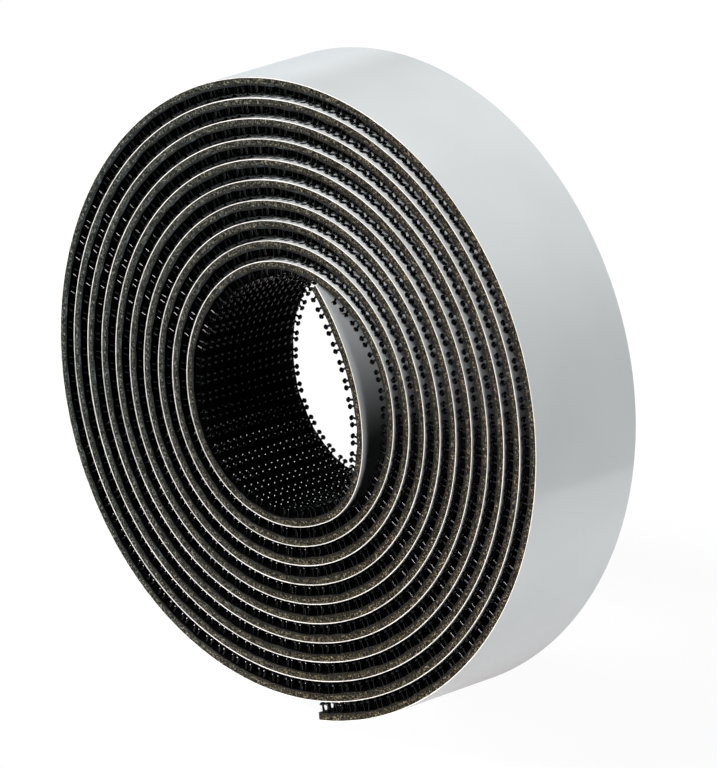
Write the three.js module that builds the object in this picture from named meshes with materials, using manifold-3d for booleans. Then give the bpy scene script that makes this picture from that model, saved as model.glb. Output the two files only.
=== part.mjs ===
// A coreless roll of reclosable fastener tape, standing on its winding.
// The tape is a black plastic strip with mushroom-headed stems on its inner face, a foam
// adhesive on its outer face, and a release liner over the foam. It winds inwards from a loose
// outer end, the tail, to a loose inner end, the flap, that leans across the hole.
// The roll's axis is Y, its front faces -Y, and Z is up. The origin lies on the flat that the
// roll stands on, straight below the axis.

import * as THREE from "three";
import { mergeVertices } from "three/addons/utils/BufferGeometryUtils.js";
import Module from "manifold-3d";

const wasm = await Module();
wasm.setup();

// Driving sizes, in millimetres
const tapeWidth = 25.4;
const linerThickness = 0.13;
const foamThickness = 0.87;
const backingThickness = 0.44;
const stemHeight = 1.79;
const stemWidth = 0.55;
const headWidth = 1.1;
const stemInset = 0.8;
const turnClearance = 0.18;
const innerRadius = 21.96;
const jointGap = 0.3;
const flapEndClearance = 0.4;

// Counts. A turn has loopSteps flat facets, and facet 0 is the one at the foot.
const loopSteps = 20;
const windingTurns = 10;
const flapSteps = 6;
const flapRowsPerStep = 2;
const stemSides = 3;
const gapSamplesPerFacet = 4;

// On most of the winding one row of stems in singleStemEvery has one stem, and the rest have one
// at each edge. The rows that the flap's tip rests against have none.
const singleStemEvery = 3;
const rowsUnderFlapTip = 4;

// Angles in degrees along the winding, from the foot, rising from the outer end inwards
const tailTipAngle = 22;
const flapTipAngle = 174.9;
const flapTipHeading = 145.2;

// Places of the hinges, as facet numbers. Each hinge cuts its facet in the middle.
const tabHingeFacet = 3;
const tailEndHingeFacet = 4;
const tailUpperHingeFacet = 7;
const flapHingeFacet = windingTurns * loopSteps + 2;

// How far the flap's curve runs on in the direction of each end, as shares of its chord
const flapRootPullShare = 0.368;
const flapTipPullShare = 0.46;

// Sizes that follow from the driving sizes
const foamDepth = linerThickness;
const backingDepth = foamDepth + foamThickness;
const stemDepth = backingDepth + backingThickness;
const headDepth = stemDepth + stemHeight;
const pitch = headDepth + turnClearance;
const stepAngle = 360 / loopSteps;
const flapHingeAngle = flapHingeFacet * stepAngle;
const outerTurnEndFacet = tailUpperHingeFacet + loopSteps;
const innerTurnStartFacet = flapHingeFacet - loopSteps;

const colours = { stemStrip: 0x17181a, foam: 0x3a352e, liner: 0xc9cdce };

// Radius of the liner's outer face where its smooth spiral passes an angle
function windingRadius(angle) {
  return innerRadius + (pitch * (flapHingeAngle - angle)) / 360;
}

// A point of the front view, x to the right and y up from the roll's axis
function polarPoint(radius, angle) {
  const turn = THREE.MathUtils.degToRad(angle);
  return new THREE.Vector2(radius * Math.sin(turn), -radius * Math.cos(turn));
}

// The liner's outer face as a line of facets, whose middles lie on the smooth spiral
function windingCorners() {
  const outOfRound = 1 / Math.cos(THREE.MathUtils.degToRad(stepAngle / 2));
  const corners = [];
  for (let facet = 1; facet <= flapHingeFacet + 1; facet += 1) {
    const angle = (facet - 0.5) * stepAngle;
    corners.push(polarPoint(windingRadius(angle) * outOfRound, angle));
  }
  return corners;
}

// Place along the line of corners, as corner number and share of the facet after it
function placeAtAngle(angle) {
  const facet = Math.round(angle / stepAngle);
  const offset = Math.tan(THREE.MathUtils.degToRad(angle - facet * stepAngle));
  const half = Math.tan(THREE.MathUtils.degToRad(stepAngle / 2));
  return facet - 1 + (1 + offset / half) / 2;
}

function placeAtFacet(facet) {
  return placeAtAngle(facet * stepAngle);
}

// The flap's outer face: a curve from the winding's last hinge to the backing of the turn round it
function flapPoints() {
  const root = polarPoint(windingRadius(flapHingeAngle), flapHingeAngle);
  const turnRoundTip = flapTipAngle + (windingTurns - 1) * 360;
  const tipRadius = windingRadius(turnRoundTip) - stemDepth - flapEndClearance;
  const tip = polarPoint(tipRadius, flapTipAngle);
  const chord = root.distanceTo(tip);
  const rootTurn = THREE.MathUtils.degToRad(flapHingeAngle);
  const tipTurn = THREE.MathUtils.degToRad(flapTipHeading);
  const rootPull = new THREE.Vector2(Math.cos(rootTurn), Math.sin(rootTurn));
  const tipPull = new THREE.Vector2(Math.cos(tipTurn), Math.sin(tipTurn));
  const curve = new THREE.CubicBezierCurve(
    root,
    root.clone().addScaledVector(rootPull, chord * flapRootPullShare),
    tip.clone().addScaledVector(tipPull, -chord * flapTipPullShare),
    tip,
  );
  return curve.getSpacedPoints(flapSteps);
}

// The direction of a facet, and the direction into the tape square to it
function facetFrame(line, index) {
  const along = line[index + 1].clone().sub(line[index]).normalize();
  const inward = new THREE.Vector2(-along.y, along.x);
  return { along, inward };
}

// A stretch of a line of facets between two places. Each station has its point on the outer
// face and the step inwards that moves it by one unit of thickness.
function stretch(line, from, to, gapAtStart, gapAtEnd) {
  const stations = [];
  const endStation = (place, gap) => {
    const index = Math.min(Math.floor(place), line.length - 2);
    const { along, inward } = facetFrame(line, index);
    const point = line[index].clone().lerp(line[index + 1], place - index);
    stations.push({ point: point.addScaledVector(along, gap), inward });
  };
  endStation(from, gapAtStart);
  for (let corner = Math.floor(from) + 1; corner < to; corner += 1) {
    const before = facetFrame(line, corner - 1).inward;
    const after = facetFrame(line, corner).inward;
    const inward = before.clone().add(after).divideScalar(1 + before.dot(after));
    stations.push({ point: line[corner].clone(), inward });
  }
  endStation(to, -gapAtEnd);
  return stations;
}

function pointAtDepth(station, depth) {
  return station.point.clone().addScaledVector(station.inward, depth);
}

// The row frame turns the winding so that its foot lies level, and stands it on that foot
const corners = windingCorners();
const footLine = facetFrame(corners, loopSteps - 1);
const footTilt = Math.atan2(footLine.along.y, footLine.along.x);
const footDrop = corners[loopSteps - 1].clone().rotateAround(new THREE.Vector2(), -footTilt).y;

function inRowFrame(point, y) {
  const turned = point.clone().rotateAround(new THREE.Vector2(), -footTilt);
  return new THREE.Vector3(turned.x, y, turned.y - footDrop);
}

// A closed strip between two depths along a stretch, as wide as the tape
function stripGeometry(stations, outerDepth, innerDepth) {
  const positions = [];
  const index = [];
  for (const station of stations) {
    for (const depth of [outerDepth, innerDepth]) {
      for (const side of [-1, 1]) {
        const corner = inRowFrame(pointAtDepth(station, depth), (side * tapeWidth) / 2);
        positions.push(corner.x, corner.y, corner.z);
      }
    }
  }
  const quad = (a, b, c, d) => index.push(a, b, c, a, c, d);
  const [outerFront, outerBack, innerFront, innerBack] = [0, 1, 2, 3];
  const ring = [outerFront, outerBack, innerBack, innerFront];
  const last = (stations.length - 1) * ring.length;
  for (let base = 0; base < last; base += ring.length) {
    const next = base + ring.length;
    ring.forEach((corner, i) => {
      const following = ring[(i + 1) % ring.length];
      quad(base + corner, base + following, next + following, next + corner);
    });
  }
  quad(innerFront, innerBack, outerBack, outerFront);
  quad(last + outerFront, last + outerBack, last + innerBack, last + innerFront);
  const geometry = new THREE.BufferGeometry();
  geometry.setAttribute("position", new THREE.Float32BufferAttribute(positions, 3));
  geometry.setIndex(index);
  return geometry;
}

// A mushroom stem: a post that widens to its head, with its foot sunk into the backing
function stemGeometry(point, frame, y) {
  const positions = [];
  const index = [];
  const ends = [
    { depth: stemDepth - backingThickness / 2, width: stemWidth },
    { depth: headDepth, width: headWidth },
  ];
  for (const { depth, width } of ends) {
    for (let side = 0; side < stemSides; side += 1) {
      const turn = (side / stemSides) * Math.PI * 2;
      const flat = point.clone().addScaledVector(frame.inward, depth);
      flat.addScaledVector(frame.along, (Math.cos(turn) * width) / 2);
      const corner = inRowFrame(flat, y + (Math.sin(turn) * width) / 2);
      positions.push(corner.x, corner.y, corner.z);
    }
  }
  for (let side = 0; side < stemSides; side += 1) {
    const next = (side + 1) % stemSides;
    index.push(side, next, next + stemSides, side, next + stemSides, side + stemSides);
    if (side > 0 && next > 0) {
      index.push(0, next, side);
      index.push(stemSides, side + stemSides, next + stemSides);
    }
  }
  const geometry = new THREE.BufferGeometry();
  geometry.setAttribute("position", new THREE.Float32BufferAttribute(positions, 3));
  geometry.setIndex(index);
  return geometry;
}

function toManifold(geometry) {
  const merged = mergeVertices(geometry);
  const mesh = new wasm.Mesh({
    numProp: 3,
    vertProperties: new Float32Array(merged.attributes.position.array),
    triVerts: new Uint32Array(merged.index.array),
  });
  return new wasm.Manifold(mesh);
}

function fromManifold(solid) {
  const { vertProperties, triVerts } = solid.getMesh();
  const geometry = new THREE.BufferGeometry();
  geometry.setAttribute("position", new THREE.BufferAttribute(vertProperties, 3));
  geometry.setIndex(new THREE.BufferAttribute(triVerts, 1));
  return geometry;
}

// The two places across the tape where stems stand
const stemEdges = [-1, 1].map((side) => side * (tapeWidth / 2 - stemInset));

// A row of stems at a share of one facet's length
function rowOnFacet(line, index, share, places) {
  const frame = facetFrame(line, index);
  const point = line[index].clone().lerp(line[index + 1], share);
  return places.map((y) => stemGeometry(point, frame, y));
}

function holdsFlapTip(facet) {
  const tipFacet = flapTipAngle / stepAngle + (windingTurns - 1) * loopSteps;
  return Math.abs(facet - tipFacet) < rowsUnderFlapTip / 2;
}

// One row of stems in the middle of each facet. A single stem stands at the front edge and the
// back edge by turns.
function windingStems(fromFacet, toFacet, singleEvery) {
  const middleShare = 1 / 2;
  const stems = [];
  for (let facet = fromFacet + 1; facet < toFacet; facet += 1) {
    const single = facet % singleEvery === 0;
    const places = single ? [stemEdges[facet % stemEdges.length]] : stemEdges;
    if (!holdsFlapTip(facet)) {
      stems.push(...rowOnFacet(corners, facet - 1, middleShare, places));
    }
  }
  return stems;
}

function flapStems(line) {
  const stems = [];
  for (let index = 0; index < flapSteps; index += 1) {
    for (let row = 0; row < flapRowsPerStep; row += 1) {
      const share = (row + 1 / 2) / flapRowsPerStep;
      stems.push(...rowOnFacet(line, index, share, [stemEdges[row % stemEdges.length]]));
    }
  }
  return stems;
}

const materials = {
  stemStrip: new THREE.MeshStandardMaterial({ color: colours.stemStrip, roughness: 0.45, metalness: 0 }),
  foam: new THREE.MeshStandardMaterial({ color: colours.foam, roughness: 0.95, metalness: 0 }),
  liner: new THREE.MeshStandardMaterial({ color: colours.liner, roughness: 0.3, metalness: 0 }),
};

const roll = new THREE.Group();

function addPiece(name, geometry, material) {
  geometry.computeVertexNormals();
  const mesh = new THREE.Mesh(geometry, material);
  mesh.name = name;
  roll.add(mesh);
}

function addStemStrip(name, stations, stems) {
  const backing = toManifold(stripGeometry(stations, backingDepth, stemDepth));
  const solid = wasm.Manifold.union([backing, ...stems.map(toManifold)]);
  addPiece(name, fromManifold(solid), materials.stemStrip);
}

function addFoam(name, stations) {
  addPiece(name, stripGeometry(stations, foamDepth, backingDepth), materials.foam);
}

function addLiner(name, stations) {
  addPiece(name, stripGeometry(stations, 0, foamDepth), materials.liner);
}

// The winding. Its foam is unbroken. Its stem strip and its liner are each cut once, so that the
// turn round the hole and the outermost turn are bodies of their own.
const halfGap = jointGap / 2;
const outerTurnEnd = placeAtFacet(outerTurnEndFacet);
const innerTurnStart = placeAtFacet(innerTurnStartFacet);
const windingStart = placeAtFacet(tailUpperHingeFacet);
const windingEnd = placeAtFacet(flapHingeFacet);
const windingStretch = stretch(corners, windingStart, windingEnd, halfGap, halfGap);
addStemStrip(
  "winding_stem_strip",
  stretch(corners, windingStart, innerTurnStart, halfGap, 0),
  windingStems(tailUpperHingeFacet, innerTurnStartFacet, singleStemEvery),
);
addStemStrip(
  "inner_turn_stem_strip",
  stretch(corners, innerTurnStart, windingEnd, 0, halfGap),
  windingStems(innerTurnStartFacet, flapHingeFacet, 1),
);
addFoam("winding_foam_adhesive", windingStretch);
addLiner(
  "outer_turn_release_liner",
  stretch(corners, windingStart, outerTurnEnd, halfGap, 0),
);
addLiner("winding_release_liner", stretch(corners, outerTurnEnd, windingEnd, 0, halfGap));

// The tail, in two lengths that bend one after the other
const tailBend = placeAtFacet(tailEndHingeFacet);
const tailUpperStretch = stretch(corners, tailBend, windingStart, halfGap, halfGap);
addStemStrip(
  "tail_upper_stem_strip",
  tailUpperStretch,
  windingStems(tailEndHingeFacet, tailUpperHingeFacet, 1),
);
addFoam("tail_upper_foam_adhesive", tailUpperStretch);
addLiner("tail_upper_release_liner", tailUpperStretch);

const tipPlace = placeAtAngle(tailTipAngle);
const tailEndStretch = stretch(corners, tipPlace, tailBend, 0, halfGap);
addStemStrip(
  "tail_end_stem_strip",
  tailEndStretch,
  windingStems(Math.floor(tipPlace) + 1, tailEndHingeFacet, 1),
);
addFoam("tail_end_foam_adhesive", tailEndStretch);
const tabPlace = placeAtFacet(tabHingeFacet);
addLiner("tail_end_release_liner", stretch(corners, tabPlace, tailBend, halfGap, halfGap));
addLiner("liner_pull_tab", stretch(corners, tipPlace, tabPlace, 0, halfGap));

// The flap, the tape's loose inner end. It bends away from the winding on the stem side, so its
// root starts far enough along for the gap to stay open there.
const flapLine = flapPoints();
const lastFacet = facetFrame(corners, flapHingeFacet - 1).along;
const rootBend = facetFrame(flapLine, 0).along.angle() - lastFacet.angle();
const rootGap = halfGap + stemDepth * Math.tan(rootBend);
const flapStretch = stretch(flapLine, 0, flapSteps, rootGap, 0);
addStemStrip("inner_end_stem_strip", flapStretch, flapStems(flapLine));
addFoam("inner_end_foam_adhesive", flapStretch);
addLiner("inner_end_release_liner", flapStretch);

// Least distance between the faces of neighbouring turns of one wound layer
function leastGapBetweenTurns(outerDepth, innerDepth) {
  const outerFace = [];
  const innerFace = [];
  for (let i = 0; i < windingStretch.length - 1; i += 1) {
    const [here, next] = [windingStretch[i], windingStretch[i + 1]];
    for (let step = 0; step < gapSamplesPerFacet; step += 1) {
      for (const [face, depth] of [[outerFace, outerDepth], [innerFace, innerDepth]]) {
        const share = step / gapSamplesPerFacet;
        face.push(pointAtDepth(here, depth).lerp(pointAtDepth(next, depth), share));
      }
    }
  }
  const halfTurn = (loopSteps * gapSamplesPerFacet) / 2;
  let least = Infinity;
  innerFace.forEach((point, i) => {
    for (let j = i + halfTurn; j < outerFace.length; j += 1) {
      least = Math.min(least, point.distanceTo(outerFace[j]));
    }
  });
  return least;
}

const windingLayers = [
  ["stem strip, heads included", backingDepth, headDepth],
  ["foam", foamDepth, backingDepth],
  ["liner", 0, foamDepth],
];
for (const [layer, outerDepth, innerDepth] of windingLayers) {
  const gap = leastGapBetweenTurns(outerDepth, innerDepth);
  console.log(`least gap between turns of the ${layer}: ${gap.toFixed(2)} mm`);
}

export default roll;
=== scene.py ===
import math

import bmesh
import bpy
import numpy as np
from mathutils import Matrix, Vector


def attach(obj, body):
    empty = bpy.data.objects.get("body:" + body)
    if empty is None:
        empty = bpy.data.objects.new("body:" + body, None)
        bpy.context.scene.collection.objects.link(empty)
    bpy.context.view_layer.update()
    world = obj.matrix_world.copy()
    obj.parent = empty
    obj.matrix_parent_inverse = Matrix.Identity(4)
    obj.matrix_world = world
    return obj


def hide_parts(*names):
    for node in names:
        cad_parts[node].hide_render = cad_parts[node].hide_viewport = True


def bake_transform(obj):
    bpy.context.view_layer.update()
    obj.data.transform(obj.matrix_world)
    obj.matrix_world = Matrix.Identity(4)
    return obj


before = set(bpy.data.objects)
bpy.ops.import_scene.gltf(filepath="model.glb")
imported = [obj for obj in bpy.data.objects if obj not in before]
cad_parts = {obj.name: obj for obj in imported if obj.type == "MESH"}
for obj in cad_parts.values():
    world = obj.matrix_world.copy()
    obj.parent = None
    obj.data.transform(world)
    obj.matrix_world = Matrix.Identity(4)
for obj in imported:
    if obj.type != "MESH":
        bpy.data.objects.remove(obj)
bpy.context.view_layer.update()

# The dressed model of a roll of reclosable fastener tape. One line is worked out first, the
# liner's outer face, as a spiral that ends in a loose flap. Every layer and stem follows it.

# Sizes of the tape and of its winding, in metres
MM = 0.001
TAPE_WIDTH = 25.4 * MM
LINER_THICKNESS = 0.13 * MM
FOAM_THICKNESS = 0.87 * MM
BACKING_THICKNESS = 0.44 * MM
STEM_HEIGHT = 1.79 * MM
PITCH = 3.41 * MM
INNER_RADIUS = 21.96 * MM
FLAP_TIP_CLEARANCE = 0.4 * MM
AXIS = np.array([0.0, 52.98813 * MM])

FOAM_DEPTH = LINER_THICKNESS
BACKING_DEPTH = FOAM_DEPTH + FOAM_THICKNESS
STEM_DEPTH = BACKING_DEPTH + BACKING_THICKNESS
HALF_WIDTH = TAPE_WIDTH / 2

# Angles along the winding in degrees, from the foot, rising from the tail's tip inwards.
# The foot's facet is level, which turns the whole winding back by the foot tilt.
FOOT_TILT = 0.581952
TAIL_TIP = 22
FLAP_ROOT = 3636
FLAP_TIP = 174.9
FLAP_TIP_HEADING = 145.2
FLAP_ROOT_PULL = 0.368
FLAP_TIP_PULL = 0.46

# Where one piece of tape ends and the next begins, in stretches; those of the winding hang from
# one body
SEAM_TAB = 60
SEAM_TAIL = 84
SEAM_WINDING = 147
SEAM_FLAP = 3622

# A share along the flap from its root, where the flap's piece looks up a point of the flap
FLAP_REACH = 0.09

# How the hand-wound turns stand off an even spiral: waves of one and of two in a turn, that swap
# sides at the middle turn. They are fitted to the turns in the photograph.
ONE_WAVE = (0.208 * MM, 0.117 * MM)
TWO_WAVES = (0.166 * MM, -0.159 * MM)
MIDDLE_TURN = 1890
HALF_WINDING = 1750

# The roll's weight presses the outer turns together near the foot, so that there they are even.
# That holds for some degrees to each side of the foot, and for the turns before some angle.
PRESSED_BESIDE_FOOT = 20
LOOSE_BESIDE_FOOT = 120
PRESSED_UP_TO = 420
LOOSE_FROM = 720

# Where the tape stands further out at the back than at the front: by how much, at what angle and
# over how many degrees. The tops of the two outermost turns are loose, and the tail's tip hangs.
FLARES = ((1.25 * MM, 205, 50), (0.4 * MM, 565, 50), (0.45 * MM, TAIL_TIP, 30))

# Steps along the line: between stations, and for measuring its length
STATION_SPACING = 0.7 * MM
SAMPLES_PER_DEGREE = 4
LEAST_SAMPLES = 400

# How many stations the cut edges' slow wander and the backing's ragged corner take in
WANDER_STATIONS = 24
RAGGED_STATIONS = 4

# Edges sharper than this many degrees stay sharp
STRIP_CREASE = 50
STEM_CREASE = 55

# The stems stand in pairs of rows that lean apart
ROW_PERIOD = 3.29 * MM
PAIR_SPACING = 0.31 * ROW_PERIOD
HEAD_SPACING = 0.41 * ROW_PERIOD
FIRST_ROW_INSET = 0.75 * MM
LAST_ROW_INSET = 0.5 * MM

# How finely the line is measured for the rows' places, on the winding and on the flap
ROW_SEARCH_DEGREES = 0.1
ROW_SEARCH_POINTS = 600

# Where the stems' pieces on the winding part. From the last one inwards no turn presses on them.
OUTER_TURNS_END = 1100
MIDDLE_TURNS_END = 2200
FREE_FROM = 3240

# The flap's tip rests on the rows from this far before its angle to this far after it
TIP_REACH_BEFORE = 9.5
TIP_REACH_AFTER = 2

COLUMNS = 16
COLUMN_SPACING = 1.59 * MM
TOWARDS_FRONT = 0.15 * MM
FIRST_COLUMN = -(COLUMNS - 1) / 2 * COLUMN_SPACING - TOWARDS_FRONT

# How many columns at each edge are detailed, and how many sides their stems have. The middle
# columns' stems have sides by how well they are seen.
DETAILED_COLUMNS = 3
EDGE_SIDES = 8
SIDES_IN_SIGHT = 10
SIDES_BETWEEN_TURNS = 3


def linear(hex_colour):
    """An sRGB hex colour as linear RGBA."""
    values = [int(hex_colour[i : i + 2], 16) / 255 for i in (1, 3, 5)]
    return [v / 12.92 if v <= 0.04045 else ((v + 0.055) / 1.055) ** 2.4 for v in values] + [1]


def add_node(tree, kind, sockets=None, **settings):
    """Adds a node. Sockets maps an input's name or number to a value or to an output to link."""
    made = tree.nodes.new(kind)
    for name, value in settings.items():
        setattr(made, name, value)
    for key, value in (sockets or {}).items():
        if isinstance(value, bpy.types.NodeSocket):
            tree.links.new(value, made.inputs[key])
        else:
            made.inputs[key].default_value = value
    return made


def new_material(name):
    made = bpy.data.materials.new(name)
    made.use_nodes = True
    made.node_tree.nodes.clear()
    return made, made.node_tree


def finish_material(tree, **sockets):
    named = {name.replace("_", " "): value for name, value in sockets.items()}
    shader = add_node(tree, "ShaderNodeBsdfPrincipled", named)
    add_node(tree, "ShaderNodeOutputMaterial", {"Surface": shader.outputs["BSDF"]})


def per_metre(size):
    """A texture's scale for features of this size in metres."""
    return 1 / size


# Materials


def mixed_colours(tree, factor, a, b):
    made = tree.nodes.new("ShaderNodeMix")
    made.data_type = "RGBA"
    for socket, value in ((made.inputs[0], factor), (made.inputs[6], a), (made.inputs[7], b)):
        if isinstance(value, bpy.types.NodeSocket):
            tree.links.new(value, socket)
        else:
            socket.default_value = value
    return made.outputs[2]


def tone_ramp(tree, value, *stops):
    """Colours at rising values, as pairs of a value and an sRGB hex colour."""
    made = add_node(tree, "ShaderNodeValToRGB", {"Fac": value})
    elements = made.color_ramp.elements
    while len(elements) < len(stops):
        elements.new(0.5)
    for element, (place, colour) in zip(elements, stops):
        element.position = place
        element.color = linear(colour)
    return made.outputs["Color"]


def noise(tree, place, size, detail, roughness=0.5):
    sockets = {"Vector": place, "Scale": per_metre(size), "Detail": detail, "Roughness": roughness}
    return add_node(tree, "ShaderNodeTexNoise", sockets).outputs["Fac"]


def fade_of_painted_cool_light(tree, place):
    """Where the painted cool light fades: from 0 at the roll's left side, where it is full, to 1
    right of its middle, where it is gone.
    """
    sideways = add_node(tree, "ShaderNodeSeparateXYZ", {"Vector": place}).outputs["X"]
    sockets = {"Value": sideways, "From Min": -50 * MM, "From Max": 20 * MM}
    return add_node(tree, "ShaderNodeMapRange", sockets).outputs["Result"]


def acrylic_foam():
    """Closed-cell acrylic foam, knife cut: matt and dark brown-grey, full of light grains and dark
    pores. They are drawn 0.3 mm wide, coarser than real cells, so that they show at this picture's
    size. On the left side the colour turns cool grey: painted cool light, not the foam's own
    colour."""
    made, tree = new_material("acrylic_foam_cut")
    place = add_node(tree, "ShaderNodeTexCoord").outputs["Object"]
    grain = noise(tree, place, 0.3 * MM, 3.0, 0.75)
    warm = tone_ramp(
        tree,
        grain,
        (0.42, "#040403"),
        (0.5, "#28251B"),
        (0.56, "#4A4535"),
        (0.63, "#857C61"),
        (0.69, "#C2B796"),
    )
    # Painted cool light: the left side's grains drawn in cool grey, as a cool light there would
    # show them.
    painted_cool_light_tone = tone_ramp(
        tree,
        grain,
        (0.42, "#050606"),
        (0.5, "#2B302C"),
        (0.57, "#505650"),
        (0.67, "#9CA399"),
    )
    # The cool grey on the left is painted light; right of the middle the foam keeps its own warm
    # colour.
    colour = mixed_colours(tree, fade_of_painted_cool_light(tree, place), painted_cool_light_tone, warm)
    bump = add_node(
        tree, "ShaderNodeBump", {"Height": grain, "Strength": 0.7, "Distance": 0.08 * MM}
    )
    finish_material(
        tree,
        Base_Color=colour,
        Roughness=0.9,
        Specular_IOR_Level=0.25,
        Normal=bump.outputs["Normal"],
    )
    return made


def moulded_polypropylene():
    """Black moulded polypropylene: all but black, with a gloss that draws a thin bright line down
    each stem and a point on each head."""
    made, tree = new_material("polypropylene_moulded_black")
    place = add_node(tree, "ShaderNodeTexCoord").outputs["Object"]
    cloud = noise(tree, place, 2.5 * MM, 2.0)
    roughness = add_node(
        tree, "ShaderNodeMapRange", {"Value": cloud, "To Min": 0.08, "To Max": 0.2}
    )
    finish_material(
        tree,
        Base_Color=linear("#020303"),
        Roughness=roughness.outputs["Result"],
        Specular_IOR_Level=0.36,
    )
    return made


def moulded_base():
    """The face between the stems, from the same mould as the stems but matt, so that it stays
    black behind their highlights."""
    made, tree = new_material("polypropylene_moulded_base")
    place = add_node(tree, "ShaderNodeTexCoord").outputs["Object"]
    cloud = noise(tree, place, 1.2 * MM, 3.0)
    colour = tone_ramp(tree, cloud, (0.3, "#020202"), (0.7, "#070808"))
    finish_material(tree, Base_Color=colour, Roughness=0.6, Specular_IOR_Level=0.04)
    return made


def cut_polypropylene():
    """The knife-cut edge of the backing: smooth and dark, with wide smears on the left side of the
    roll and a fine warm grain like the foam's on the right. The smears' cool blue-grey is painted
    cool light."""
    made, tree = new_material("polypropylene_cut_edge")
    place = add_node(tree, "ShaderNodeTexCoord").outputs["Object"]
    smear = noise(tree, place, 3.2 * MM, 4.0, 0.62)
    # Painted cool light: the smears on the left side are drawn in cool blue-grey.
    painted_cool_light_tone = tone_ramp(tree, smear, (0.38, "#0C1011"), (0.56, "#22292B"), (0.72, "#62737A"))
    grain = noise(tree, place, 0.27 * MM, 3.0, 0.75)
    warm = tone_ramp(tree, grain, (0.42, "#030302"), (0.54, "#191711"), (0.68, "#5E5745"))
    colour = mixed_colours(tree, fade_of_painted_cool_light(tree, place), painted_cool_light_tone, warm)
    bump = add_node(
        tree, "ShaderNodeBump", {"Height": smear, "Strength": 0.5, "Distance": 0.15 * MM}
    )
    finish_material(
        tree,
        Base_Color=colour,
        Roughness=0.55,
        Specular_IOR_Level=0.25,
        Normal=bump.outputs["Normal"],
    )
    return made


def release_film():
    """Siliconed release film: pale blue-grey and slick, with faint waves where it follows the
    foam, so that the table's edge shows in it as a faint line."""
    made, tree = new_material("siliconed_release_film")
    place = add_node(tree, "ShaderNodeTexCoord").outputs["Object"]
    wave = noise(tree, place, 14 * MM, 1.0)
    bump = add_node(
        tree, "ShaderNodeBump", {"Height": wave, "Strength": 0.1, "Distance": 0.3 * MM}
    )
    colour = tone_ramp(tree, wave, (0.3, "#D2DBDB"), (0.7, "#D6DFDF"))
    finish_material(
        tree,
        Base_Color=colour,
        Roughness=0.13,
        Specular_IOR_Level=0.5,
        Normal=bump.outputs["Normal"],
    )
    return made


def cut_release_film():
    """The cut edge of the film: cream white, its own colour, and glowing a little: a painted glow
    for light that enters the film and leaves there.
    """
    made, tree = new_material("release_film_cut_edge_painted_glow")
    place = add_node(tree, "ShaderNodeTexCoord").outputs["Object"]
    nick = noise(tree, place, 1.1 * MM, 2.0)
    colour = tone_ramp(tree, nick, (0.3, "#D6D4CC"), (0.6, "#FBF9F2"))
    finish_material(
        tree,
        Base_Color=colour,
        Roughness=0.4,
        # Painted light: the edge glows, though it is no lamp.
        Emission_Color=colour,
        Emission_Strength=0.3,
    )
    return made


FOAM = acrylic_foam()
STEM_PLASTIC = moulded_polypropylene()
BASE_PLASTIC = moulded_base()
BACKING_EDGE = cut_polypropylene()
FILM = release_film()
GLOWING_FILM_EDGE = cut_release_film()


# The line of the tape: the liner's outer face, seen from the front


def polar(radius, degrees):
    turn = math.radians(degrees - FOOT_TILT)
    return AXIS + radius * np.array([math.sin(turn), -math.cos(turn)])


def heading(degrees):
    turn = math.radians(degrees - FOOT_TILT)
    return np.array([math.cos(turn), math.sin(turn)])


def ramp(value, low, high):
    """From 0 at the low value to 1 at the high one."""
    return np.clip((value - low) / (high - low), 0, 1)


def looseness(degrees):
    """How far the hand-wound tape stands off an even spiral: the outer turns hang out at the upper
    left and the inner turns at the lower right. The turns near the foot are pressed together."""
    turn = np.radians(degrees)
    inwards = (degrees - MIDDLE_TURN) / HALF_WINDING
    amount = inwards * (
        ONE_WAVE[0] * np.cos(turn)
        + ONE_WAVE[1] * np.sin(turn)
        + TWO_WAVES[0] * np.cos(2 * turn)
        + TWO_WAVES[1] * np.sin(2 * turn)
    )
    from_foot = np.abs((degrees + 180) % 360 - 180)
    free = ramp(from_foot, PRESSED_BESIDE_FOOT, LOOSE_BESIDE_FOOT)
    inner = ramp(degrees, PRESSED_UP_TO, LOOSE_FROM)
    return amount * (free + (1 - free) * inner)


def flare(degrees):
    """How much further out the tape stands at the back than at the front."""
    return sum(
        reach * np.exp(-(((degrees - middle) / spread) ** 2)) for reach, middle, spread in FLARES
    )


def winding_radius(degrees):
    return INNER_RADIUS + PITCH * (FLAP_ROOT - degrees) / 360 + looseness(degrees)


class Line:
    """Points along the liner's outer face, each with its direction along the tape and the
    direction inwards, square to it."""

    def __init__(self, points, along):
        self.points = np.array(points)
        self.along = np.array(along)
        self.inward = np.stack([-self.along[:, 1], self.along[:, 0]], axis=1)

    def __len__(self):
        return len(self.points)

    def part(self, first, last):
        return Line(self.points[first : last + 1], self.along[first : last + 1])

    def at_depth(self, depth):
        return self.points + self.inward * np.reshape(depth, (-1, 1))


def winding_line(angles):
    return Line(
        [polar(winding_radius(a), a) for a in angles],
        [heading(a) for a in angles],
    )


def flap_line(shares):
    """The loose inner end: one smooth curve from the winding to the turn round it."""
    root = polar(winding_radius(FLAP_ROOT), FLAP_ROOT)
    turn_round_tip = FLAP_TIP + 360 * (FLAP_ROOT // 360 - 1)
    tip = polar(winding_radius(turn_round_tip) - STEM_DEPTH - FLAP_TIP_CLEARANCE, FLAP_TIP)
    chord = np.linalg.norm(tip - root)
    after_root = root + heading(FLAP_ROOT) * chord * FLAP_ROOT_PULL
    before_tip = tip - heading(FLAP_TIP_HEADING) * chord * FLAP_TIP_PULL
    points, along = [], []
    for t in shares:
        s = 1 - t
        points.append(
            s**3 * root + 3 * s * s * t * after_root + 3 * s * t * t * before_tip + t**3 * tip
        )
        slope = (
            s * s * (after_root - root)
            + 2 * s * t * (before_tip - after_root)
            + t * t * (tip - before_tip)
        )
        along.append(slope / np.linalg.norm(slope))
    return Line(points, along)


def joined(a, b):
    return Line(np.concatenate([a.points, b.points]), np.concatenate([a.along, b.along]))


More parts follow.
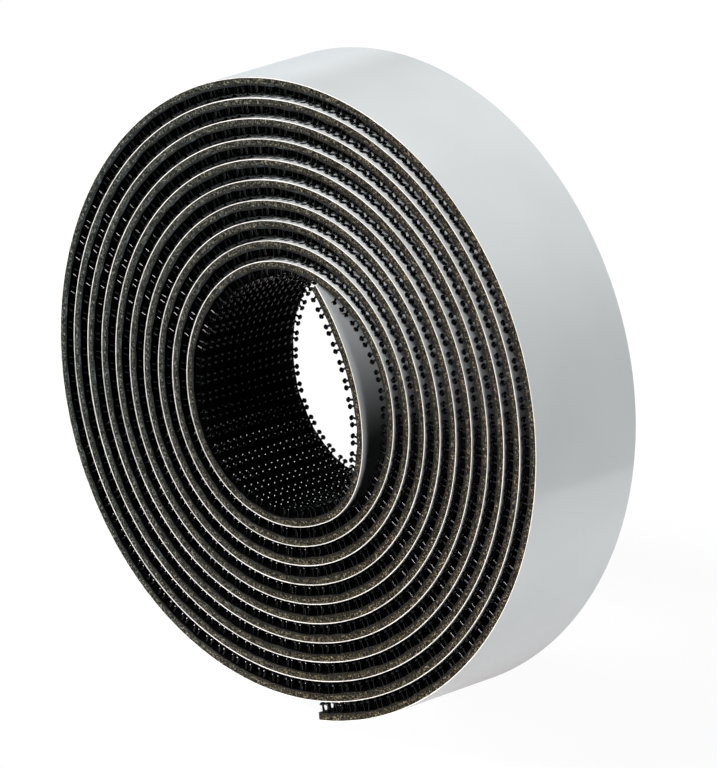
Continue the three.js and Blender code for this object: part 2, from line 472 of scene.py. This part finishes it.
def run_along(points):
    """The length of the way to each point from the first."""
    return np.concatenate([[0], np.cumsum(np.linalg.norm(np.diff(points, axis=0), axis=1))])


def even_steps(line_of, start, end):
    """Values from start to end that step the line by the station spacing, ends included."""
    samples = int(abs(end - start) * SAMPLES_PER_DEGREE) + LEAST_SAMPLES
    fine = np.linspace(start, end, samples)
    run = run_along(line_of(fine).points)
    count = max(2, round(run[-1] / STATION_SPACING) + 1)
    return np.interp(np.linspace(0, run[-1], count), run, fine)


seams = [TAIL_TIP, SEAM_TAB, SEAM_TAIL, SEAM_WINDING, SEAM_FLAP]
angles = [TAIL_TIP]
station_at = {TAIL_TIP: 0}
for start, end in zip(seams, seams[1:]):
    angles += list(even_steps(winding_line, start, end))[1:]
    station_at[end] = len(angles) - 1
angles += list(even_steps(winding_line, SEAM_FLAP, FLAP_ROOT))[1:]
flap_shares = list(even_steps(flap_line, 0, 1))[1:]
tape = joined(winding_line(angles), flap_line(flap_shares))
station_at["flap tip"] = len(tape) - 1
flare_at = np.concatenate([flare(np.array(angles)), np.zeros(len(flap_shares))])

# Strips

rng = np.random.default_rng(7)


def smooth_noise(count, width):
    """Random values with a spread of one, smoothed over this many stations."""
    raw = rng.normal(size=count + width)
    return np.convolve(raw, np.ones(width) / math.sqrt(width), mode="valid")[:count]


def uneven(count, columns, coarse, fine):
    """Offsets of the cut edge at each station: a slow wander and a fine roughness."""
    return np.stack(
        [
            coarse * smooth_noise(count, WANDER_STATIONS) + fine * rng.normal(size=count)
            for _ in range(columns)
        ],
        axis=1,
    )


class Layer:
    """One layer of the tape as a ring of points round its section, and how uneven each is. Proud
    is how far it stands out at both edges, and rows is how many points an edge has."""

    def __init__(self, outer, inner, proud, rows, coarse, fine, ragged=0):
        depths = np.linspace(outer, inner, rows)
        self.depths = np.concatenate([depths, depths[::-1]])
        self.sides = np.concatenate([-np.ones(rows), np.ones(rows)])
        self.rows = rows
        spread = uneven(len(tape), 2 * rows, coarse, fine)
        self.across = self.sides * (HALF_WIDTH + proud + spread)
        shift = uneven(len(tape), 2 * rows, 0, fine / 2)
        shift[:, [0, rows - 1, rows, -1]] = 0
        for i in (rows - 1, rows):
            shift[:, i] = ragged * smooth_noise(len(tape), RAGGED_STATIONS)
        self.depth_at = self.depths + shift

    def strip(self, name, first, last, face_material, edge_material):
        line = tape.part(first, last)
        count, ring = len(line), len(self.depths)
        positions = np.zeros((count, ring, 3))
        for i in range(ring):
            lift = flare_at[first : last + 1] * (self.sides[i] + 1) / 2
            flat = line.at_depth(self.depth_at[first : last + 1, i] - lift)
            positions[:, i, 0], positions[:, i, 2] = flat[:, 0], flat[:, 1]
            positions[:, i, 1] = self.across[first : last + 1, i]
        faces, finishes = [], []
        for station in range(count - 1):
            here, after = station * ring, (station + 1) * ring
            for i in range(ring):
                j = (i + 1) % ring
                faces.append((here + i, here + j, after + j, after + i))
                broad = i in (self.rows - 1, ring - 1)
                finishes.append(0 if broad else 1)
        faces.append(tuple(range(ring)))
        faces.append(tuple(reversed(range((count - 1) * ring, count * ring))))
        finishes += [1, 1]
        mesh = bpy.data.meshes.new(name)
        mesh.from_pydata(positions.reshape(-1, 3).tolist(), [], faces)
        mesh.materials.append(face_material)
        mesh.materials.append(edge_material)
        mesh.polygons.foreach_set("material_index", finishes)
        face_outwards(mesh)
        mesh.shade_smooth()
        mesh.set_sharp_from_angle(angle=math.radians(STRIP_CREASE))
        return place_object(name, mesh)


def face_outwards(mesh):
    shell = bmesh.new()
    shell.from_mesh(mesh)
    bmesh.ops.recalc_face_normals(shell, faces=shell.faces)
    shell.to_mesh(mesh)
    shell.free()


def place_object(name, mesh):
    made = bpy.data.objects.new(name, mesh)
    bpy.context.scene.collection.objects.link(made)
    return made


# The liner and the foam run a little into the layer under them, so that no gap shows
LINER = Layer(
    outer=0,
    inner=LINER_THICKNESS + 0.01 * MM,
    proud=0.06 * MM,
    rows=2,
    coarse=0.01 * MM,
    fine=0.002 * MM,
)
FOAM_LAYER = Layer(
    outer=FOAM_DEPTH,
    inner=BACKING_DEPTH + 0.1 * MM,
    proud=0,
    rows=4,
    coarse=0.01 * MM,
    fine=0.02 * MM,
)
BACKING = Layer(
    outer=BACKING_DEPTH,
    inner=STEM_DEPTH,
    proud=-0.03 * MM,
    rows=3,
    coarse=0.015 * MM,
    fine=0.015 * MM,
    ragged=0.06 * MM,
)


# Stems


def stem_field():
    """Geometry nodes: rows of mushroom stems across the tape, on points that carry their own
    directions."""
    tree = bpy.data.node_groups.new("stem_field", "GeometryNodeTree")
    interface = tree.interface
    interface.new_socket(name="Geometry", in_out="OUTPUT", socket_type="NodeSocketGeometry")
    interface.new_socket(name="Rows", in_out="INPUT", socket_type="NodeSocketGeometry")
    for name in (
        "First Column",
        "Column Spacing",
        "Foot Sink",
        "Foot Radius",
        "Post Radius",
        "Neck Height",
        "Head Radius",
        "Rim Height",
        "Rim Radius",
        "Bulge Height",
        "Shoulder Height",
        "Shoulder Radius",
        "Stem Height",
        "Place Jitter",
        "Lean Jitter",
    ):
        interface.new_socket(name=name, in_out="INPUT", socket_type="NodeSocketFloat")
    for name in ("Columns", "Sides", "Seed"):
        interface.new_socket(name=name, in_out="INPUT", socket_type="NodeSocketInt")
    interface.new_socket(name="Plastic", in_out="INPUT", socket_type="NodeSocketMaterial")
    given = add_node(tree, "NodeGroupInput").outputs

    def add(a, b, operation="ADD"):
        return add_node(tree, "ShaderNodeMath", {0: a, 1: b}, operation=operation).outputs[0]

    def vector(x, y, z):
        made = add_node(tree, "ShaderNodeCombineXYZ", {"X": x, "Y": y, "Z": z})
        return made.outputs["Vector"]

    # One stem, as bands from its foot, which is closed by a shallow cone, to its crown
    foot = add(0.0, given["Foot Sink"], "SUBTRACT")
    closed_foot = add(foot, 0.01 * MM, "SUBTRACT")
    stations = [
        (closed_foot, 0.0),
        (foot, given["Foot Radius"]),
        (given["Neck Height"], given["Post Radius"]),
        (given["Rim Height"], given["Rim Radius"]),
        (given["Bulge Height"], given["Head Radius"]),
        (given["Shoulder Height"], given["Shoulder Radius"]),
        (given["Stem Height"], 0.0),
    ]
    bands = add_node(tree, "GeometryNodeJoinGeometry")
    for (low, low_radius), (high, high_radius) in zip(stations, stations[1:]):
        band = add_node(
            tree,
            "GeometryNodeMeshCone",
            {
                "Vertices": given["Sides"],
                "Radius Bottom": low_radius,
                "Radius Top": high_radius,
                "Depth": add(high, low, "SUBTRACT"),
            },
            fill_type="NONE",
        )
        raised = add_node(
            tree,
            "GeometryNodeTransform",
            {"Geometry": band.outputs["Mesh"], "Translation": vector(0.0, 0.0, low)},
        )
        tree.links.new(raised.outputs["Geometry"], bands.inputs["Geometry"])
    stem = add_node(
        tree,
        "GeometryNodeMergeByDistance",
        {"Geometry": bands.outputs["Geometry"], "Distance": 0.001 * MM},
    )

    # Columns across each row
    column = add_node(
        tree,
        "GeometryNodeMeshLine",
        {
            "Count": given["Columns"],
            "Start Location": vector(0.0, given["First Column"], 0.0),
            "Offset": vector(0.0, given["Column Spacing"], 0.0),
        },
    )
    rows = add_node(
        tree,
        "GeometryNodeInstanceOnPoints",
        {"Points": given["Rows"], "Instance": column.outputs["Mesh"]},
    )
    feet = add_node(
        tree, "GeometryNodeRealizeInstances", {"Geometry": rows.outputs["Instances"]}
    )

    def named(name, kind="FLOAT_VECTOR"):
        made = add_node(
            tree, "GeometryNodeInputNamedAttribute", {"Name": name}, data_type=kind
        )
        return made.outputs["Attribute"]

    def scaled(direction, amount):
        made = add_node(
            tree,
            "ShaderNodeVectorMath",
            {0: direction, "Scale": amount},
            operation="SCALE",
        )
        return made.outputs["Vector"]

    def summed(a, b):
        made = add_node(tree, "ShaderNodeVectorMath", {0: a, 1: b}, operation="ADD")
        return made.outputs["Vector"]

    def random_direction(reach, offset):
        made = add_node(
            tree,
            "FunctionNodeRandomValue",
            {"Min": (-1.0, -1.0, -1.0), "Max": (1.0, 1.0, 1.0)},
            data_type="FLOAT_VECTOR",
        )
        tree.links.new(add(given["Seed"], float(offset)), made.inputs["Seed"])
        return scaled(made.outputs["Value"], reach)

    along, inward, lean = named("along"), named("inward"), named("lean", "FLOAT")
    position = add_node(tree, "GeometryNodeInputPosition").outputs["Position"]
    sideways = add_node(tree, "ShaderNodeSeparateXYZ", {"Vector": position}).outputs["Y"]
    from_front = add(add(sideways, TAPE_WIDTH, "DIVIDE"), 0.5)
    lift = scaled(inward, add(from_front, named("flare", "FLOAT"), "MULTIPLY"))
    lifted = add_node(
        tree,
        "ShaderNodeVectorMath",
        {0: random_direction(given["Place Jitter"], 2), 1: lift},
        operation="SUBTRACT",
    )
    upright = summed(inward, scaled(along, lean))
    leaning = summed(upright, random_direction(given["Lean Jitter"], 1))
    turned = add_node(
        tree,
        "FunctionNodeAxesToRotation",
        {"Primary Axis": leaning, "Secondary Axis": along},
        primary_axis="Z",
        secondary_axis="X",
    )
    moved = add_node(
        tree,
        "GeometryNodeSetPosition",
        {
            "Geometry": feet.outputs["Geometry"],
            "Offset": lifted.outputs["Vector"],
        },
    )
    stems = add_node(
        tree,
        "GeometryNodeInstanceOnPoints",
        {
            "Points": moved.outputs["Geometry"],
            "Instance": stem.outputs["Geometry"],
            "Rotation": turned.outputs["Rotation"],
        },
    )
    realized = add_node(
        tree, "GeometryNodeRealizeInstances", {"Geometry": stems.outputs["Instances"]}
    )
    smooth = add_node(
        tree, "GeometryNodeSetShadeSmooth", {"Geometry": realized.outputs["Geometry"]}
    )
    dressed = add_node(
        tree,
        "GeometryNodeSetMaterial",
        {"Geometry": smooth.outputs["Geometry"], "Material": given["Plastic"]},
    )
    add_node(tree, "NodeGroupOutput", {"Geometry": dressed.outputs["Geometry"]})
    return tree


STEM_FIELD = stem_field()
STEM_SIZES = {
    "Column Spacing": COLUMN_SPACING,
    "Foot Sink": 0.1 * MM,
    "Foot Radius": 0.27 * MM,
    "Post Radius": 0.18 * MM,
    "Neck Height": 1.22 * MM,
    "Rim Height": 1.26 * MM,
    "Rim Radius": 0.4 * MM,
    "Bulge Height": 1.43 * MM,
    "Head Radius": 0.51 * MM,
    "Shoulder Height": 1.69 * MM,
    "Shoulder Radius": 0.34 * MM,
    "Stem Height": STEM_HEIGHT,
    "Place Jitter": 0.03 * MM,
    "Lean Jitter": 0.03,
    "Plastic": STEM_PLASTIC,
}
# Heads that the next turn has pressed on are wider than the free ones in the hole
PRESSED_HEADS = {
    "Rim Radius": 0.47 * MM,
    "Bulge Height": 1.41 * MM,
    "Head Radius": 0.57 * MM,
    "Shoulder Radius": 0.4 * MM,
}


def stem_rows():
    """Places of the rows of stems along the tape, on the backing's inner face. A row's mark is its
    angle along the winding, or on the flap the root's angle plus its share of the flap."""
    fine_angles = np.arange(TAIL_TIP, FLAP_ROOT, ROW_SEARCH_DEGREES)
    fine_shares = np.linspace(0, 1, ROW_SEARCH_POINTS)
    line = joined(winding_line(fine_angles), flap_line(fine_shares))
    marks = np.concatenate([fine_angles, FLAP_ROOT + fine_shares])
    run = run_along(line.at_depth(STEM_DEPTH))
    rows = []
    pairs = int((run[-1] - FIRST_ROW_INSET) / ROW_PERIOD)
    for pair in range(pairs + 1):
        for side in (0, 1):
            place = FIRST_ROW_INSET + pair * ROW_PERIOD + side * PAIR_SPACING
            if place > run[-1] - LAST_ROW_INSET:
                continue
            mark = np.interp(place, run, marks)
            if mark < FLAP_ROOT:
                here = winding_line([mark])
            else:
                here = flap_line([mark - FLAP_ROOT])
            lean = (HEAD_SPACING - PAIR_SPACING) / 2 / STEM_HEIGHT
            rows.append(
                {
                    "mark": mark,
                    "foot": here.at_depth(STEM_DEPTH)[0],
                    "along": here.along[0],
                    "inward": here.inward[0],
                    "lean": lean * (1 if side else -1),
                    "flare": flare(mark),
                }
            )
    return rows


def rests_on_flap_tip(mark):
    """The flap's tip lies among these rows of the turn round it, where its stems are pressed flat
    and can't be seen."""
    turn = mark - 360 * (FLAP_ROOT // 360 - 1)
    return FLAP_TIP - TIP_REACH_BEFORE < turn < FLAP_TIP + TIP_REACH_AFTER


def stem_piece(name, rows, first_column, columns, sides, seed):
    """The stems of some columns in these rows, as one plain mesh made by the geometry nodes."""
    mesh = bpy.data.meshes.new(name)
    mesh.from_pydata([(r["foot"][0], 0, r["foot"][1]) for r in rows], [], [])
    for key in ("along", "inward"):
        values = np.array([(r[key][0], 0, r[key][1]) for r in rows])
        mesh.attributes.new(key, "FLOAT_VECTOR", "POINT").data.foreach_set(
            "vector", values.ravel()
        )
    for key in ("lean", "flare"):
        mesh.attributes.new(key, "FLOAT", "POINT").data.foreach_set(
            "value", [r[key] for r in rows]
        )
    source = place_object(name + "_rows", mesh)
    modifier = source.modifiers.new("stems", "NODES")
    modifier.node_group = STEM_FIELD
    values = dict(STEM_SIZES)
    if rows[0]["mark"] < FREE_FROM:
        values.update(PRESSED_HEADS)
    values["First Column"] = FIRST_COLUMN + first_column * COLUMN_SPACING
    values.update({"Columns": columns, "Sides": sides, "Seed": seed})
    for item in STEM_FIELD.interface.items_tree:
        if item.name in values:
            modifier[item.identifier] = values[item.name]
    evaluated = source.evaluated_get(bpy.context.evaluated_depsgraph_get())
    made = place_object(name, bpy.data.meshes.new_from_object(evaluated))
    made.data.set_sharp_from_angle(angle=math.radians(STEM_CREASE))
    source.modifiers.clear()
    bpy.data.objects.remove(source)
    return made


def across(rows, name, middle_sides, seed):
    """Rows of stems over the whole width: detailed at both edges, plainer between them."""
    edge, middle = DETAILED_COLUMNS, COLUMNS - 2 * DETAILED_COLUMNS
    return [
        stem_piece(name + "_front", rows, 0, edge, EDGE_SIDES, seed),
        stem_piece(name + "_middle", rows, edge, middle, middle_sides, seed + 10),
        stem_piece(name + "_back", rows, edge + middle, edge, EDGE_SIDES, seed + 20),
    ]


# Pieces and what they ride on


def flap_point_at(share):
    flat = flap_line([share]).points[0]
    return (flat[0], 0, flat[1])


def ride_winding(piece):
    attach(piece, "winding")


def bend_tail_root(piece):
    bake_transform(piece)


def bend_tail_end(piece):
    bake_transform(piece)


def bend_tab(piece):
    """The peeled film's piece, baked where it is built."""
    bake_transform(piece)


def bend_flap(piece):
    flap_point_at(FLAP_REACH)
    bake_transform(piece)


def dress(piece, carry, nodes):
    carry(piece)
    if nodes:
        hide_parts(*nodes)


STRIP_NODES = {
    "tail_end": ["tail_end_stem_strip"],
    "tail_upper": ["tail_upper_stem_strip"],
    "winding": ["winding_stem_strip", "inner_turn_stem_strip"],
    "inner_end": ["inner_end_stem_strip"],
}
STRETCHES = [
    ("tail_end", TAIL_TIP, SEAM_TAIL, bend_tail_end),
    ("tail_upper", SEAM_TAIL, SEAM_WINDING, bend_tail_root),
    ("winding", SEAM_WINDING, SEAM_FLAP, ride_winding),
    ("inner_end", SEAM_FLAP, "flap tip", bend_flap),
]
for name, start, end, carry in STRETCHES:
    first, last = station_at[start], station_at[end]
    backing = BACKING.strip(name + "_backing", first, last, BASE_PLASTIC, BACKING_EDGE)
    dress(backing, carry, STRIP_NODES[name])
    foam = FOAM_LAYER.strip(name + "_foam", first, last, FOAM, FOAM)
    dress(foam, carry, [name + "_foam_adhesive"])

LINERS = [
    ("liner_tab", TAIL_TIP, SEAM_TAB, bend_tab, ["liner_pull_tab"]),
    ("tail_end_liner", SEAM_TAB, SEAM_TAIL, bend_tail_end, ["tail_end_release_liner"]),
    ("tail_upper_liner", SEAM_TAIL, SEAM_WINDING, bend_tail_root, ["tail_upper_release_liner"]),
    (
        "winding_liner",
        SEAM_WINDING,
        SEAM_FLAP,
        ride_winding,
        ["outer_turn_release_liner", "winding_release_liner"],
    ),
    ("inner_end_liner", SEAM_FLAP, "flap tip", bend_flap, ["inner_end_release_liner"]),
]
for name, start, end, carry, nodes in LINERS:
    liner = LINER.strip(name, station_at[start], station_at[end], FILM, GLOWING_FILM_EDGE)
    dress(liner, carry, nodes)

ALL_ROWS = [r for r in stem_rows() if not rests_on_flap_tip(r["mark"])]
FLAP_END = FLAP_ROOT + 1
STEM_STRETCHES = [
    ("tail_end", TAIL_TIP, SEAM_TAIL, SIDES_IN_SIGHT, bend_tail_end),
    ("tail_upper", SEAM_TAIL, SEAM_WINDING, SIDES_IN_SIGHT, bend_tail_root),
    ("outer_turns", SEAM_WINDING, OUTER_TURNS_END, SIDES_BETWEEN_TURNS, ride_winding),
    ("middle_turns", OUTER_TURNS_END, MIDDLE_TURNS_END, SIDES_BETWEEN_TURNS, ride_winding),
    ("inner_turns", MIDDLE_TURNS_END, FREE_FROM, SIDES_BETWEEN_TURNS, ride_winding),
    ("innermost_turn", FREE_FROM, SEAM_FLAP, SIDES_IN_SIGHT, ride_winding),
    ("inner_end", SEAM_FLAP, FLAP_END, SIDES_IN_SIGHT, bend_flap),
]
for number, (name, start, end, middle_sides, carry) in enumerate(STEM_STRETCHES):
    rows = [r for r in ALL_ROWS if start <= r["mark"] < end]
    for piece in across(rows, name + "_stems", middle_sides, 100 * number):
        dress(piece, carry, [])


# Floor, light and camera

FLOOR_CORNERS = ((-0.2, -0.02), (0.03, -0.02), (0.249, -0.075), (-0.16, 1.5), (-0.2, 1.5))

# Directions towards the lights. The key light stands in front on the left and above, and the
# side light shines low across the band and into the hole from the right.
KEY_LIGHT = (-0.29, -0.71, 0.64)
SIDE_LIGHT = (0.96, -0.06, 0.26)

# The camera that the photograph's fit gives: a long lens from the front right and above, rolled
CAMERA_LENS = 219.975
CAMERA_RIGHT = Vector((0.7222382, 0.66992036, 0.17198458))
CAMERA_UP = Vector((-0.39710998, 0.1980607, 0.89614487))
CAMERA_BACK = Vector((0.56628231, -0.71552685, 0.40907907))
CAMERA_PLACE = Vector((456.1386, -570.0174, 380.9938)) * MM


def floor():
    """A plain white table top. It ends at the right, where the film reflects its edge, and in
    front, where the photograph's light comes only from above."""
    made, tree = new_material("white_table_top")
    path = add_node(tree, "ShaderNodeLightPath").outputs
    paint = mixed_colours(tree, path["Is Camera Ray"], linear("#B4B4B4"), linear("#505050"))
    diffuse = add_node(tree, "ShaderNodeBsdfDiffuse", {"Color": paint})
    glow = bright_to(tree, path, lighting=0.25, mirrored=0.45, seen=0.95)
    warm = mixed_colours(tree, path["Is Camera Ray"], linear("#FFF6F6"), (1, 1, 1, 1))
    light = add_node(tree, "ShaderNodeEmission", {"Color": warm, "Strength": glow})
    both = add_node(tree, "ShaderNodeAddShader", {0: diffuse.outputs[0], 1: light.outputs[0]})
    add_node(tree, "ShaderNodeOutputMaterial", {"Surface": both.outputs[0]})
    mesh = bpy.data.meshes.new("floor")
    corners = [(x, y, 0) for x, y in FLOOR_CORNERS]
    mesh.from_pydata(corners, [], [tuple(range(len(corners)))])
    mesh.materials.append(made)
    return place_object("floor", mesh)


def bright_to(tree, path, lighting, mirrored, seen):
    """A strength for the light that falls on things, for reflections and for the camera."""
    for ray, strength in (("Is Glossy Ray", mirrored), ("Is Camera Ray", seen)):
        mixed = add_node(tree, "ShaderNodeMix", {0: path[ray], 2: lighting, 3: strength})
        lighting = mixed.outputs[0]
    return lighting


floor()


def surroundings():
    """A dim room, white to the camera. Behind the roll stands a low pale wall, of which the film
    reflects the left end."""
    world = bpy.data.worlds.new("white_studio")
    world.use_nodes = True
    tree = world.node_tree
    tree.nodes.clear()
    path = add_node(tree, "ShaderNodeLightPath").outputs
    place = add_node(tree, "ShaderNodeTexCoord").outputs["Generated"]
    towards = add_node(tree, "ShaderNodeSeparateXYZ", {"Vector": place}).outputs

    def rising(value, low, high, top):
        sockets = {"Value": value, "From Min": low, "From Max": high, "To Max": top}
        made = add_node(tree, "ShaderNodeMapRange", sockets, interpolation_type="SMOOTHSTEP")
        return made.outputs["Result"]

    wall = rising(towards["Z"], 0.6, 0.2, rising(towards["Y"], -0.1, 0.25, 0.5))
    left_end = rising(towards["Z"], 0.3, 0.05, rising(towards["X"], -0.35, -0.6, 0.8))
    strength = bright_to(tree, path, lighting=wall, mirrored=left_end, seen=1.0)
    colour = mixed_colours(tree, path["Is Camera Ray"], linear("#EEF5FA"), (1, 1, 1, 1))
    light = add_node(tree, "ShaderNodeBackground", {"Color": colour, "Strength": strength})
    add_node(tree, "ShaderNodeOutputWorld", {"Surface": light.outputs[0]})
    bpy.context.scene.world = world


surroundings()


def sun(name, towards, strength, spread, colour):
    data = bpy.data.lights.new(name, "SUN")
    data.energy = strength
    data.angle = math.radians(spread)
    data.color = linear(colour)[:3]
    made = bpy.data.objects.new(name, data)
    made.rotation_euler = Vector(towards).to_track_quat("Z", "Y").to_euler()
    bpy.context.scene.collection.objects.link(made)


sun("key_light", KEY_LIGHT, strength=4.95, spread=20, colour="#FFF9FA")
sun("side_light", SIDE_LIGHT, strength=1.6, spread=26, colour="#FFF9FA")


def camera():
    data = bpy.data.cameras.new("camera")
    data.lens = CAMERA_LENS
    data.sensor_width = 36
    made = bpy.data.objects.new("camera", data)
    turn = Matrix((CAMERA_RIGHT, CAMERA_UP, CAMERA_BACK)).transposed().to_4x4()
    made.matrix_world = Matrix.Translation(CAMERA_PLACE) @ turn
    bpy.context.scene.collection.objects.link(made)
    bpy.context.scene.camera = made


camera()
bpy.context.scene.view_settings.view_transform = "Standard"
